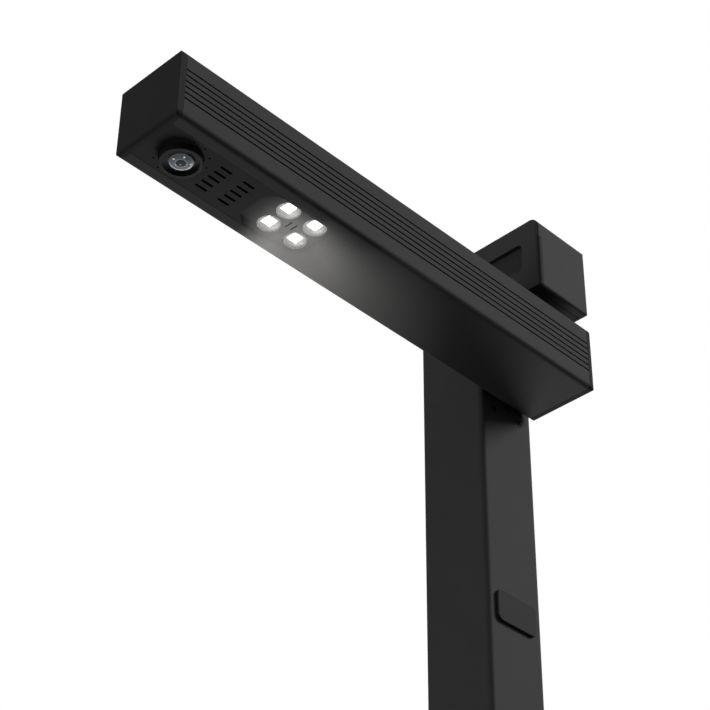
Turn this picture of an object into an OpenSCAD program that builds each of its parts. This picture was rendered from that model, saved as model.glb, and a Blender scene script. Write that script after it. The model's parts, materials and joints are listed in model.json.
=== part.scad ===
// Overhead document scanner: a weighted base, a square column, a head block on top of
// the column and a camera arm beside the column that folds down about a cross hinge.
// X runs to the right of the arm, Y runs back (the camera end is at -Y), Z runs up.
// The column stands on the Z axis and the rubber sheet under the base lies on z = 0.

/* [Arm] */
// Width of the arm
arm_w = 41.6; // [40:0.2:46]
// Height of the arm
arm_h = 37; // [35:0.2:40]
// Length of the arm with both end caps
arm_len = 286.6; // [260:0.2:320]
// Height of the underside of the arm above the table
under_z = 330; // [322:1:380]
// Distance from the hinge axis to the back end of the arm
arm_back = 19.3; // [18.5:0.1:20]
// Wall of the extruded arm
arm_wall = 2; // [1.8:0.1:2.2]
// Radius of the lower long edges of the arm
arm_r = 2.7; // [2.5:0.1:3.6]
// Radius of the upper long edges of the arm
arm_top_r = 0.3; // [0.2:0.1:0.8]
// Thickness of the front cap
front_t = 3.7; // [3:0.1:4.5]
// Thickness of the back cap
back_t = 4.9; // [4:0.1:5.5]
// Radius of the lower edge and the left edge of the front face
front_r = 2.4; // [2:0.1:3]
// Radius of the lower edge and the upright edges of the back face
back_r = 3.3; // [2.5:0.1:3.6]
// Number of grooves in each side of the arm
groove_n = 6; // [3:1:7]
// Spacing of the grooves
groove_pitch = 3.42; // [3:0.02:3.6]
// Width of one groove
groove_w = 0.9; // [0.8:0.1:1.6]
// Depth of one groove
groove_d = 0.6; // [0.4:0.1:0.9]
// Height of the lowest groove above the underside
groove_z0 = 11; // [9:0.1:12]

/* [Camera panel] */
// Width of the opening for the panel in the underside
panel_w = 27.6; // [27.4:0.2:29]
// Length of the panel behind the front cap
panel_len = 111.3; // [110.5:0.1:116]
// How far the panel lies above the underside
panel_inset = 0.1; // [0.1:0.05:0.4]
// Distance of the lens from the front end
lens_y = 21.4; // [20.8:0.1:22]
// Outer radius of the lens hood
hood_r = 10; // [9.6:0.1:10.4]
// How far the hood stands below the underside
hood_out = 3.2; // [2:0.1:4]
// Distance of the edge of the front lens behind the rim of the hood
lens_sink = 1.4; // [1.2:0.1:1.8]
// Radius of the ring of pin holes
pin_ring_r = 12.4; // [12.3:0.1:12.6]
// Number of pin holes round the lens
pin_n = 12; // [6:1:16]
// Diameter of one pin hole
pin_d = 1; // [0.8:0.1:1.2]
// Slots in one row
slot_n = 5; // [3:1:5]
// Spacing of the slots
slot_pitch = 4.15; // [3.6:0.05:4.3]
// Length of one slot
slot_len = 7; // [5:0.1:7.4]
// Width of one slot
slot_w = 1.4; // [1:0.1:1.8]
// Place of the first row of slots as a part of the panel length
slot_at_1 = 0.332; // [0.33:0.001:0.337]
// Place of the second row of slots as a part of the panel length
slot_at_2 = 0.4546; // [0.45:0.0001:0.456]

/* [Lamp] */
// Width of the lamp recess
lamp_w = 26.2; // [25.6:0.1:26.4]
// Length of the lamp recess
lamp_l = 42.2; // [41.6:0.1:42.4]
// Place of the middle of the lamp recess as a part of the panel length
lamp_at = 0.7336; // [0.732:0.0001:0.735]
// Corner radius of the lamp recess
lamp_r = 8.8; // [6:0.1:9.5]
// Depth of the lamp recess below which the lamps sit
lamp_depth = 2.35; // [2.2:0.05:2.5]
// Distance of the middle of the four lamps behind the middle of the recess
led_back = 3.95; // [3.6:0.05:4.1]
// Spacing of the lamps across the arm
led_px = 13; // [12.8:0.1:13.2]
// Spacing of the lamps along the arm
led_py = 16.8; // [16:0.1:17]
// Radius of one lamp lens
led_r = 5.75; // [5.2:0.05:5.9]
// Side of one light chip
chip_a = 5.5; // [3.5:0.1:5.8]

/* [Column] */
// Width of the column
col_w = 41.2; // [40:0.2:44]
// Depth of the column
col_d = 40; // [39.4:0.2:42]
// Wall of the column
col_wall = 2; // [1.8:0.1:2.2]
// Radius of the upright edges of the column
col_r = 3; // [2.6:0.1:3.6]
// Gap between the column and the arm
side_gap = 2.4; // [2:0.1:2.6]
// Width of the bumper pad along the column depth
pad_w = 28.3; // [20:0.1:30]
// Height of the bumper pad
pad_h = 17; // [12:0.5:24]
// How far the bumper pad stands out
pad_t = 1.6; // [1:0.1:1.6]
// Distance of the bumper pad below the underside of the arm
pad_drop = 119.8; // [90:0.2:150]

/* [Head] */
// Gap between the top of the arm and the head
head_gap = 12.3; // [11.5:0.1:16]
// Height of the head
head_h = 45; // [42:0.5:52]
// How far the right face of the head lies inside the right side of the arm
head_inset = 1.4; // [0:0.1:3]
// Radius of the upper long edges of the head
head_r = 5; // [3:0.1:6]
// Radius of the upright edges of the head
head_side_r = 2.4; // [2:0.1:3.2]
// Radius of the lower right edge of the head
head_low_r = 2; // [1:0.1:3]
// Radius of the lower back edge of the head where it stands out over the arm
head_back_r = 3; // [2:0.1:3.2]
// Margin from the finger recess to the side of the head
scoop_side = 11.1; // [9:0.1:14]
// Margin from the finger recess to the top of the head
scoop_top = 12.3; // [10:0.1:14]
// Margin from the finger recess to the bottom of the head
scoop_low = 11.2; // [10:0.1:13]
// Depth of the finger recess at its upper edge
scoop_d = 2.8; // [1.5:0.1:3.2]

/* [Base] */
// Width of the base
base_w = 170; // [168:1:200]
// Depth of the base
base_d = 160; // [158:1:190]
// Height of the base with its rubber sheet
base_h = 24; // [23:0.5:26]
// Corner radius of the base
base_r = 16; // [10:1:20]
// Place of the middle of the base to the right of the column
base_x = 22; // [20:1:24]
// Place of the middle of the base in front of the column
base_y = -36; // [-38:1:-35]
// Thickness of the rubber sheet
sheet_t = 1.6; // [1.2:0.1:2]
// Thickness of the steel ballast plate
plate_t = 8; // [6:0.5:8]

/* [Shown piece] */
// Piece to draw

/* [Hidden] */
$fn = 64;
e = 0.02;
arm_x0 = col_w / 2 + side_gap;
arm_y0 = arm_back - arm_len;
piv_z = under_z + arm_h / 2;
cx = arm_w / 2;
head_z = under_z + arm_h + head_gap;
head_x0 = -col_w / 2;
head_x1 = arm_x0 + arm_w - head_inset;
head_w = head_x1 - head_x0;
bx0 = base_x - base_w / 2;
bx1 = base_x + base_w / 2;
by0 = base_y - base_d / 2;
by1 = base_y + base_d / 2;
plate_z = sheet_t + plate_t;
base_in = base_h - 3;
block_w = col_w - 2 * col_wall - 0.6;
block_d = col_d - 2 * col_wall - 0.6;
block_x = block_w / 2;
panel_y0 = front_t;
panel_y1 = front_t + panel_len;
slot_y1 = panel_y0 + slot_at_1 * panel_len;
slot_y2 = panel_y0 + slot_at_2 * panel_len;
lamp_y = panel_y0 + lamp_at * panel_len;
led_y = lamp_y + led_back;
lamp_post = 0.2245 * panel_len;
lamp_bw = arm_w - 12;
main_y0 = panel_y1 + 10;
main_y1 = arm_len - arm_back - 52.3;
lip = arm_wall;
flange_z = lip + 1.2;
board_z = flange_z + 1.2;
glass_z = lens_sink - hood_out;
seat_z = glass_z + 0.6;

// Shapes that several pieces share
// flat rectangle from the origin with its own radius at each corner
module corner_cut(r) {
  if (r > 0) difference() {
    translate([-1, -1]) square(r + 1);
    translate([r, r]) circle(r);
  }
}
module rect4(w, h, bl, br, tr, tl) {
  difference() {
    square([w, h]);
    corner_cut(bl);
    translate([w, 0]) mirror([1, 0]) corner_cut(br);
    translate([w, h]) mirror([1, 0]) mirror([0, 1]) corner_cut(tr);
    translate([0, h]) mirror([0, 1]) corner_cut(tl);
  }
}
module rect1(w, h, r) { rect4(w, h, r, r, r, r); }
// flat shape in X and Z pushed along Y
module along_y(len) { translate([0, len, 0]) rotate([90, 0, 0]) linear_extrude(len) children(); }
// flat shape in Y and Z pushed along X
module along_x(len) { rotate([90, 0, 90]) linear_extrude(len) children(); }
module rod_x(r, x0, x1) { translate([x0, 0, 0]) rotate([0, 90, 0]) cylinder(r = r, h = x1 - x0); }
module rod_y(r, y0, y1) { translate([0, y1, 0]) rotate([90, 0, 0]) cylinder(r = r, h = y1 - y0); }
module upright(w, d, h, r) { linear_extrude(h) translate([-w / 2, -d / 2]) rect1(w, d, r); }
// screw pointing down from the origin, with a cross or round socket in its head
module screw_down(head_r, head_t, r, len, socket) {
  difference() {
    union() {
      cylinder(r = head_r, h = head_t);
      translate([0, 0, -len]) cylinder(r = r, h = len + 0.5);
    }
    translate([0, 0, head_t - socket]) cylinder(r = head_r * 0.5, h = socket + 1);
  }
}
module in_arm() { translate([arm_x0, arm_y0, under_z]) children(); }
module at_hinge() { translate([0, 0, piv_z]) children(); }

// Base
base_pts = [[bx0 + 14, by0 + 14], [bx1 - 14, by0 + 14], [bx0 + 14, by1 - 14],
  [bx1 - 14, by1 - 14], [bx0 + 14, base_y]];
foot_x = col_w / 2 + 5.4;
foot_y = col_d / 2 + 3;
foot_pts = [[-foot_x, -foot_y], [foot_x, -foot_y], [-foot_x, foot_y], [foot_x, foot_y]];
pcb_x1 = bx1 - 21;
pcb_x0 = pcb_x1 - 42;
pcb_y0 = by0 + 24;
pcb_y1 = by1 - 3.5;
pcb_z = plate_z + 2.4;
pcb_top = pcb_z + 1.6;
pcb_pts = [[pcb_x0 + 3.5, pcb_y0 + 3.5], [pcb_x1 - 3.5, pcb_y0 + 3.5],
  [pcb_x0 + 3.5, pcb_y1 - 12], [pcb_x1 - 3.5, pcb_y1 - 12]];
key_x = pcb_x1 - 20;
key_y = [by0 + 36, by0 + 62];
usb_x = key_x;
wire_z = 18.3;
foot_top = 74;
foot_screw_z = [40, 62];

module base_sheet() color("#1b1c1e")
  translate([base_x, base_y, 0]) upright(base_w - 2, base_d - 2, sheet_t, base_r - 1);

module ballast_plate() color("#8b8f94") difference() {
  translate([base_x, base_y, sheet_t]) upright(base_w - 6.6, base_d - 6.6, plate_t, base_r - 3.3);
  for (p = base_pts) translate([p[0], p[1], sheet_t - 1]) {
    cylinder(r = 3.2, h = 3.6);
    cylinder(r = 1.8, h = plate_t + 2);
  }
  for (p = foot_pts) translate([p[0], p[1], sheet_t - 1]) {
    cylinder(r = 4, h = 4.2);
    cylinder(r = 2.3, h = plate_t + 2);
  }
  for (p = pcb_pts) translate([p[0], p[1], plate_z - 4.4]) cylinder(r = 1.35, h = 6);
}

module base_shell() color("#232426") difference() {
  union() {
    difference() {
      intersection() {
        translate([base_x, base_y, sheet_t]) upright(base_w, base_d, base_h - sheet_t, base_r);
        translate([bx0, by0, sheet_t]) along_y(base_d) rect4(base_w, base_h - sheet_t, 0, 0, 2.4, 2.4);
        translate([bx0, by0, sheet_t]) along_x(base_w) rect4(base_d, base_h - sheet_t, 0, 0, 2.4, 2.4);
      }
      translate([base_x, base_y, sheet_t - 1])
        upright(base_w - 6, base_d - 6, base_in - sheet_t + 1, base_r - 3);
    }
    for (p = base_pts) translate([p[0], p[1], plate_z]) cylinder(r = 4, h = base_in - plate_z + 0.5);
  }
  for (p = base_pts) translate([p[0], p[1], plate_z - 1]) cylinder(r = 1.55, h = base_in - plate_z);
  translate([0, 0, base_in - 1]) upright(block_w + 0.5, block_d + 0.5, 6, 1.2);
  for (y = key_y) translate([key_x, y, base_in - 1]) cylinder(r = 7.3, h = 6);
  translate([usb_x - 4.8, by1 - 6, pcb_top - 0.25]) along_y(8) rect1(9.6, 3.8, 1.8);
}

module base_screws() color("#5c5f63")
  for (p = base_pts) translate([p[0], p[1], sheet_t + 2.6]) mirror([0, 0, 1])
    screw_down(3, 2, 1.5, 14, 1.2);

module base_board() color("#1f5a3a") {
  difference() {
    union() {
      translate([pcb_x0, pcb_y0, pcb_z]) cube([pcb_x1 - pcb_x0, pcb_y1 - pcb_y0, 1.6]);
      for (p = pcb_pts) translate([p[0], p[1], plate_z]) cylinder(r = 2.6, h = 2.6);
    }
    for (p = pcb_pts) translate([p[0], p[1], plate_z - 1]) cylinder(r = 1.35, h = 6);
  }
  // switch cans under the keys
  for (y = key_y) translate([key_x, y, pcb_top - 0.01]) difference() {
    translate([-3.2, -3.2, 0]) cube([6.4, 6.4, 4]);
    translate([0, 0, 0.3]) cylinder(r = 2.1, h = 5);
  }
  // plug for the column cable, control chip and two capacitors
  translate([pcb_x0 + 0.5, -5, pcb_top - 0.01]) cube([7, 10, 6.4]);
  translate([pcb_x0 + 12, -32, pcb_top - 0.01]) cube([14, 14, 1.4]);
  for (y = [-24, -14]) translate([pcb_x1 - 10, y, pcb_top - 0.01]) cylinder(r = 3, h = 5.6);
}

module usb_socket() color("#b9bcc0") translate([usb_x, by1, pcb_top]) {
  difference() {
    translate([-4.5, -10, 0]) along_y(9.6) rect1(9, 3.3, 1.6);
    translate([-4.1, -9.2, 0.4]) along_y(11) rect1(8.2, 2.5, 1.2);
  }
  translate([-3.2, -9.5, 1.3]) cube([6.4, 7.4, 0.7]);
}

module key(y) translate([key_x, y, 0]) {
  difference() {
    translate([0, 0, base_in - 0.6]) cylinder(r = 7, h = base_h - base_in + 1.8);
    translate([0, 0, base_h + 14.6]) sphere(14);
  }
  translate([0, 0, base_in - 1.5]) cylinder(r = 8.5, h = 1.4);
  translate([0, 0, pcb_top + 1.7]) cylinder(r = 2, h = base_in - pcb_top - 2.4);
}
module power_button() color("#2c2d30") key(key_y[0]);
module light_button() color("#2c2d30") key(key_y[1]);

module board_screws() color("#5c5f63")
  for (p = pcb_pts) translate([p[0], p[1], pcb_top]) screw_down(2.4, 1.5, 1.2, 7.4, 0.9);

// Column
module column_foot() color("#6d7074") difference() {
  union() {
    translate([0, 0, plate_z]) upright(2 * foot_x + 12, 2 * foot_y + 12, 6, 5);
    translate([0, 0, plate_z + 5]) upright(block_w, block_d, foot_top - plate_z - 5, 1);
  }
  translate([0, 0, plate_z - 1]) upright(block_w - 8.6, block_d - 8.4, 90, 2);
  for (p = foot_pts) translate([p[0], p[1], plate_z - 1]) cylinder(r = 2.05, h = 6);
  translate([0, 0, wire_z]) rod_x(2.6, 0, 30);
  for (z = foot_screw_z) translate([0, 0, z]) rod_y(1.55, 10, 30);
}

module foot_screws() color("#5c5f63")
  for (p = foot_pts) translate([p[0], p[1], sheet_t + 3.2]) mirror([0, 0, 1])
    screw_down(3.7, 2.6, 2, 9.2, 1.6);

module column_tube() color("#242527") difference() {
  translate([0, 0, base_h]) upright(col_w, col_d, head_z - base_h, col_r);
  translate([0, 0, base_h - 1])
    upright(col_w - 2 * col_wall, col_d - 2 * col_wall, head_z - base_h + 2, 1.3);
  at_hinge() rod_x(12.4, 10, 30);
  for (y = [-9.7, 9.7], z = [-22.4, 22.4]) translate([0, y, piv_z + z]) {
    rod_x(1.6, 10, 30);
    rod_x(1.95, col_w / 2 - 1.2, 30);
  }
  for (z = foot_screw_z) translate([0, 0, z]) rod_y(1.7, 10, 30);
}

module column_screws() color("#3a3b3e")
  for (z = foot_screw_z) translate([0, col_d / 2, z]) rotate([-90, 0, 0])
    screw_down(3, 1.7, 1.5, 6.5, 1.1);

module bumper_pad() color("#2b2b2d")
  translate([col_w / 2, -pad_w / 2, under_z - pad_drop - pad_h / 2]) along_x(pad_t) rect1(pad_w, pad_h, 3.4);

module head_half_bolts() for (x = [-12, 12], y = [-4.5, 4.5]) translate([x, y, 0]) children();

module hinge_block() color("#74777b") difference() {
  translate([0, 0, under_z - 14]) upright(block_w, block_d, head_z - under_z + 14, 1);
  at_hinge() {
    rod_x(8.25, 0, 30);
    rod_x(15, -30, 6);
    translate([0, 11.5 * cos(135), 11.5 * sin(135)]) rod_x(2.1, 5, 10);
  }
  translate([-16, -6, under_z - 20]) cube([10, 12, piv_z - under_z + 20]);
  for (y = [-9.7, 9.7], z = [-22.4, 22.4]) translate([0, y, piv_z + z]) rod_x(1.55, block_x - 9, 30);
  head_half_bolts() translate([0, 0, head_z - 11]) cylinder(r = 1.55, h = 12);
}

module hinge_screws() color("#17181a")
  for (y = [-9.7, 9.7], z = [-22.4, 22.4]) translate([col_w / 2 - 1.2, y, piv_z + z])
    rotate([0, 90, 0]) screw_down(1.85, 1.2, 1.45, 8.5, 1);

module hinge_bush() color("#b08a4a") at_hinge() difference() {
  union() { rod_x(8, 5, block_x); rod_x(9, 4.5, 6); }
  rod_x(6.05, 0, 30);
}

module stop_pin() color("#9a9da1") at_hinge()
  translate([0, 11.5 * cos(135), 11.5 * sin(135)]) rod_x(2, 2.3, 10);

// Head
shell_pts = [[27, -10.6], [27, 10.6], [head_x1 - 12, -10.6], [head_x1 - 12, 10.6]];
head_front = 5.2;
head_back = 3.4;

module head_floor() color("#1c1d1f") difference() {
  translate([head_x0 + 3.2, -col_d / 2 + head_front + 0.2, head_z])
    cube([head_w - 8, col_d - head_front - head_back - 0.4, 3]);
  head_half_bolts() translate([0, 0, head_z - 1]) cylinder(r = 1.65, h = 6);
  for (p = shell_pts) translate([p[0], p[1], head_z - 1]) {
    cylinder(r = 1.65, h = 6);
    cylinder(r = 2.8, h = 2.5);
  }
}

module floor_screws() color("#5c5f63")
  head_half_bolts() translate([0, 0, head_z + 3]) screw_down(2.7, 2, 1.45, 12, 1.2);

module head_shell() color("#2a2b2e") difference() {
  union() {
    difference() {
      intersection() {
        translate([head_x0, -col_d / 2, head_z]) along_y(col_d)
          rect4(head_w, head_h, 0, head_low_r, head_r, head_r);
        translate([head_x0 + head_w / 2, 0, head_z]) upright(head_w, col_d, head_h, head_side_r);
      }
      translate([head_x0 + 3, -col_d / 2 + head_front, head_z - 1])
        cube([head_w - 7.6, col_d - head_front - head_back, head_h - 2]);
      translate([col_w / 2, col_d / 2, head_z]) along_x(head_w) mirror([1, 0]) corner_cut(head_back_r);
    }
    for (p = shell_pts) translate([p[0], p[1], head_z + 3]) cylinder(r = 3.6, h = head_h - 5);
  }
  for (p = shell_pts) translate([p[0], p[1], head_z]) cylinder(r = 1.55, h = 14);
  // finger recess: deep at its upper edge and level with the face at its lower edge
  intersection() {
    translate([head_x0 + scoop_side, -col_d / 2 - 1, head_z + scoop_low]) along_y(head_front)
      rect4(head_w - 2 * scoop_side, head_h - scoop_low - scoop_top, 8, 8, 3, 3);
    translate([head_x0, -col_d / 2, head_z + scoop_low]) along_x(head_w)
      polygon([[-1, -1], [0, 0], [scoop_d, head_h - scoop_low - scoop_top], [scoop_d, 30], [-1, 30]]);
  }
}

module shell_screws() color("#3a3b3e")
  for (p = shell_pts) translate([p[0], p[1], head_z + 1.5]) mirror([0, 0, 1])
    screw_down(2.6, 1.3, 1.45, 11, 0.9);

module column_cable() color("#151515") {
  translate([0, 0, wire_z]) rod_x(2, -11, pcb_x0 + 0.5);
  translate([-11, 0, wire_z]) { sphere(2); cylinder(r = 2, h = piv_z - wire_z); }
  translate([-11, 0, piv_z]) sphere(2);
  at_hinge() rod_x(2, -11, arm_x0 + 7.3);
}

// Hinge parts that turn with the arm
module hinge_shaft() color("#a3a6aa") at_hinge() difference() {
  union() {
    rod_x(6, -8, block_x + 1);
    rod_x(12, block_x + 0.6, arm_x0 + arm_wall);
    translate([arm_x0 + arm_wall, -15, -13]) along_x(4) rect1(30, 26, 3);
  }
  rod_x(3.25, -20, 60);
  translate([-9, -8, -12.8]) cube([12.9, 16, 8]);
  for (y = [-11.6, 11.6], z = [-10.2, 10.2]) translate([0, y, z]) rod_x(1.35, arm_x0, arm_x0 + 12);
}

module face_washer() color("#c7a55b") at_hinge() difference() {
  rod_x(11.8, block_x, block_x + 0.6);
  rod_x(6.1, 0, 40);
}

module friction_washer() color("#c7a55b") at_hinge() difference() {
  rod_x(9, 3.9, 4.5);
  rod_x(6.1, 0, 40);
}

module stop_disc() color("#8d9094") at_hinge() difference() {
  rod_x(13.6, 1.9, 3.9);
  difference() {
    rod_x(6.1, 0, 10);
    translate([0, -8, -12.9]) cube([10, 16, 8]);
  }
  // notch that lets the arm turn a quarter turn past the stop pin
  difference() {
    translate([1, 0, 0]) along_x(4) polygon([[0, 0],
      [24 * cos(146.6), 24 * sin(146.6)], [30 * cos(120), 30 * sin(120)],
      [30 * cos(60), 30 * sin(60)], [24 * cos(33.4), 24 * sin(33.4)]]);
    rod_x(9.2, 0, 10);
  }
}

module disc_springs() color("#b4b7bb") at_hinge() rotate([0, 90, 0]) rotate_extrude()
  polygon([[6.2, 0.1], [10.5, 0.5], [10.5, 1.5], [6.2, 1.9], [6.2, 1.4], [9.4, 1.1], [9.4, 0.9], [6.2, 0.6]]);

module lock_nut() color("#97999c") at_hinge() difference() {
  translate([-5.9, 0, 0]) rotate([0, 90, 0]) cylinder(r = 9.4, h = 6, $fn = 6);
  rod_x(6.1, -10, 10);
}

module flange_screws() color("#3a3b3e")
  for (y = [-11.6, 11.6], z = [-10.2, 10.2]) translate([arm_x0 + 1.2, y, piv_z + z])
    rotate([0, -90, 0]) screw_down(2.6, 1.2, 1.25, 4.4, 0.8);

// Arm
module arm_skin(y0, len) translate([0, y0, 0]) along_y(len) rect4(arm_w, arm_h, arm_r, arm_r, arm_top_r, arm_top_r);

module arm_tube() color("#2f3033") in_arm() difference() {
  union() {
    difference() {
      arm_skin(front_t, arm_len - front_t - back_t);
      translate([arm_wall, front_t - 1, arm_wall]) along_y(arm_len)
        rect1(arm_w - 2 * arm_wall, arm_h - 2 * arm_wall, 1.5);
    }
    // guides for the circuit board
    for (x = [arm_wall - e, arm_w - arm_wall - 1.5 + e], z = [8, 10.8])
      translate([x, main_y0 - 5, z]) cube([1.5, main_y1 - main_y0 + 26, 1]);
  }
  for (i = [0 : groove_n - 1], x = [-1, arm_w - groove_d])
    translate([x, 0, groove_z0 + i * groove_pitch - groove_w / 2])
      cube([groove_d + 1, arm_len, groove_w]);
  translate([cx - panel_w / 2, 0, -1]) cube([panel_w, panel_y1, arm_wall + 1.01]);
  translate([0, arm_len - arm_back, arm_h / 2]) {
    rod_x(12.3, -1, 5);
    for (y = [-11.6, 11.6], z = [-10.2, 10.2]) translate([0, y, z]) {
      rod_x(1.4, -1, 5);
      rod_x(2.8, -1, 1.2);
    }
  }
}

module front_cap() color("#232427") in_arm() {
  intersection() {
    arm_skin(0, front_t);
    linear_extrude(arm_h) rect4(arm_w, 20, front_r, 0.3, 0, 0);
    along_x(arm_w) rect4(20, arm_h, front_r, 0, 0, arm_top_r);
  }
  difference() {
    translate([arm_wall + 0.3, front_t - e, 3.6]) along_y(4)
      rect1(arm_w - 2 * arm_wall - 0.6, arm_h - arm_wall - 3.9, 1.3);
    translate([arm_wall + 2, front_t, 5.2]) along_y(5)
      rect1(arm_w - 2 * arm_wall - 4, arm_h - arm_wall - 7.1, 1);
  }
}

back_plug = 6.6;
module back_cap() color("#2a2b2e") in_arm() {
  intersection() {
    difference() {
      arm_skin(arm_len - back_t, back_t);
      // pocket behind the flange of the hinge
      translate([arm_wall, arm_len - back_t - 1, arm_wall]) cube([11, 2.4, arm_h - 2 * arm_wall]);
    }
    translate([0, arm_len - 20, 0]) {
      intersection() {
        linear_extrude(arm_h) rect4(arm_w, 20, 0, 0, back_r, back_r);
        along_x(arm_w) rect4(20, arm_h, 0, back_r, 0, 0);
      }
    }
  }
  difference() {
    translate([14, arm_len - back_t - back_plug + e, 2.4]) along_y(back_plug)
      rect1(arm_w - arm_wall - 14.4, arm_h - 2 * arm_wall - 0.8, 1.2);
    translate([15.6, arm_len - back_t - back_plug - 1, 4]) along_y(back_plug + 0.6)
      rect1(arm_w - arm_wall - 17.6, arm_h - 2 * arm_wall - 4, 1);
  }
}

lens_pts = [[cx - 14.2, lens_y - 10.4], [cx + 14.2, lens_y - 10.4],
  [cx - 14.2, lens_y + 10.4], [cx + 14.2, lens_y + 10.4]];
lamp_pts = [[cx - 11, lamp_y - lamp_post], [cx + 11, lamp_y - lamp_post],
  [cx - 11, lamp_y + lamp_post], [cx + 11, lamp_y + lamp_post]];
lamp_board = 2 * lamp_post + 4.8;
cam_z = 17;
tray_z = flange_z + 1.4;
module at_lens() translate([cx, lens_y, 0]) children();
module led_places() for (x = [-led_px / 2, led_px / 2], y = [-led_py / 2, led_py / 2])
  translate([cx + x, led_y + y, 0]) children();

module camera_panel() color("#1d1e20") in_arm() difference() {
  union() {
    translate([cx - panel_w / 2 + 0.1, front_t, panel_inset])
      cube([panel_w - 0.2, panel_len - 0.1, lip - panel_inset + 0.01]);
    translate([arm_wall + 1.6, front_t + 0.2, lip])
      cube([arm_w - 2 * arm_wall - 3.2, panel_len + 2.8, flange_z - lip]);
    for (p = lens_pts) translate([p[0], p[1], lip]) cylinder(r = 1.9, h = cam_z - lip);
    for (p = lamp_pts) translate([p[0], p[1], lip]) cylinder(r = 2.2, h = tray_z - lip);
  }
  at_lens() translate([0, 0, -1]) cylinder(r = hood_r + 0.25, h = 6);
  for (i = [0 : pin_n - 1]) at_lens() rotate([0, 0, 15 + i * 360 / pin_n])
    translate([pin_ring_r, 0, -1]) cylinder(r = pin_d / 2, h = 6, $fn = 24);
  for (i = [0 : slot_n - 1], y = [slot_y1, slot_y2])
    translate([cx + (i - (slot_n - 1) / 2) * slot_pitch, y, -1])
      upright(slot_w, slot_len, 6, slot_w / 2 - 0.01);
  translate([cx, lamp_y, -1]) upright(lamp_w, lamp_l, 6, lamp_r);
  for (p = lens_pts) translate([p[0], p[1], 8]) cylinder(r = 1.1, h = 12);
  for (p = lamp_pts) translate([p[0], p[1], 1.6]) cylinder(r = 1.1, h = 6);
}

module lens_hood() color("#101011") in_arm() at_lens() rotate_extrude()
  polygon([[hood_r, -hood_out + 0.4], [hood_r - 0.3, -hood_out], [hood_r - 1.7, -hood_out],
    [hood_r - 1.7, glass_z - lens_sink / 2], [7.55, glass_z - lens_sink / 2], [7.55, glass_z - 0.15],
    [6.7, glass_z - 0.15], [6.7, glass_z], [7.2, glass_z], [7.2, 0.8], [8.3, 0.8], [8.3, board_z],
    [11.4, board_z], [11.4, flange_z], [hood_r, flange_z]]);

module lens_barrel() color("#1a1a1c") in_arm() at_lens() rotate_extrude()
  polygon([[6.2, seat_z], [7, seat_z], [7, 0.8], [8, 0.8], [8, 15], [4.2, 15], [4.2, 8.5], [5.5, 8.5],
    [5.5, 3.8], [6.2, 3.8]]);

// front element: a flange between the hood's lip and the barrel, domed on both sides
module lens_glass() color("#8fa3b0") in_arm() at_lens() {
  translate([0, 0, glass_z]) cylinder(r = 7, h = 0.6);
  intersection() {
    translate([0, 0, glass_z - 1.3 + 17.4]) sphere(17.4, $fn = 128);
    translate([0, 0, glass_z - 2]) cylinder(r = 6.6, h = 2.01);
  }
  intersection() {
    translate([0, 0, seat_z + 1.9 - 9.8]) sphere(9.8, $fn = 96);
    translate([0, 0, seat_z - 0.01]) cylinder(r = 5.8, h = 3);
  }
}

module lens_rear() color("#8fa3b0") in_arm() at_lens() translate([0, 0, 6.3]) cylinder(r = 5.2, h = 2.2);

module lens_holder() color("#232325") in_arm() at_lens() difference() {
  translate([0, 0, 8.6]) upright(21, 19, cam_z - 8.6, 1.5);
  translate([0, 0, 7]) cylinder(r = 8.25, h = 12);
}

module camera_board() color("#1f5a3a") in_arm() {
  difference() {
    translate([3.2, lens_y - 13, cam_z]) cube([arm_w - 6.4, 26, 1.6]);
    for (p = lens_pts) translate([p[0], p[1], cam_z - 1]) cylinder(r = 1.15, h = 4);
  }
  translate([cx - 6, lens_y + 8.6, cam_z + 1.59]) cube([12, 4, 2.01]);
  translate([cx - 5, lens_y - 7.4, cam_z + 1.59]) cube([9, 9, 1.2]);
}

module image_sensor() color("#30343a") in_arm() at_lens()
  translate([-4, -3.3, cam_z - 0.9]) cube([8, 6.6, 0.9]);

module camera_screws() color("#5c5f63") in_arm()
  for (p = lens_pts) translate([p[0], p[1], cam_z + 1.6]) screw_down(1.8, 1.2, 0.95, 7, 0.8);

module speaker() color("#2a2a2c") in_arm() translate([cx, (slot_y1 + slot_y2) / 2, flange_z]) {
  difference() {
    upright(24, 18, 6, 2);
    translate([0, 0, -1]) cylinder(r = 8.2, h = 4.6);
  }
  translate([0, 0, 5.99]) cylinder(r = 6, h = 2.2);
}

module led_tray() color("#333437") in_arm() difference() {
  union() {
    translate([cx, lamp_y, lamp_depth])
      upright(lamp_w - 0.4, lamp_l - 0.4, tray_z - lamp_depth - 0.2, lamp_r - 0.2);
    translate([cx, lamp_y, flange_z]) upright(lamp_bw, 2 * lamp_post - 5.8, tray_z - flange_z, 2);
  }
  translate([cx, lamp_y, 3.75]) upright(26.4, 40.4, 4, 7);
  led_places() cylinder(r = led_r + 0.25, h = 9);
  for (y = [-1.6, 1.6]) translate([cx - 0.4, led_y + y, 1]) upright(5.2, 0.9, 6, 0.44);
}

module led_lenses() color("#e8ecef") in_arm() led_places() {
  translate([0, 0, lamp_depth]) cylinder(r = led_r, h = 1.6);
  translate([0, 0, 3.75]) cylinder(r = 6.2, h = 0.4);
  intersection() {
    translate([0, 0, lamp_depth - 0.7 + 24]) sphere(24, $fn = 128);
    translate([0, 0, lamp_depth - 2]) cylinder(r = led_r, h = 2.01);
  }
}

module led_chips() color("#fff7e0") in_arm() led_places()
  translate([-chip_a / 2, -chip_a / 2, tray_z - 0.4]) cube([chip_a, chip_a, 0.4]);

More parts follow.
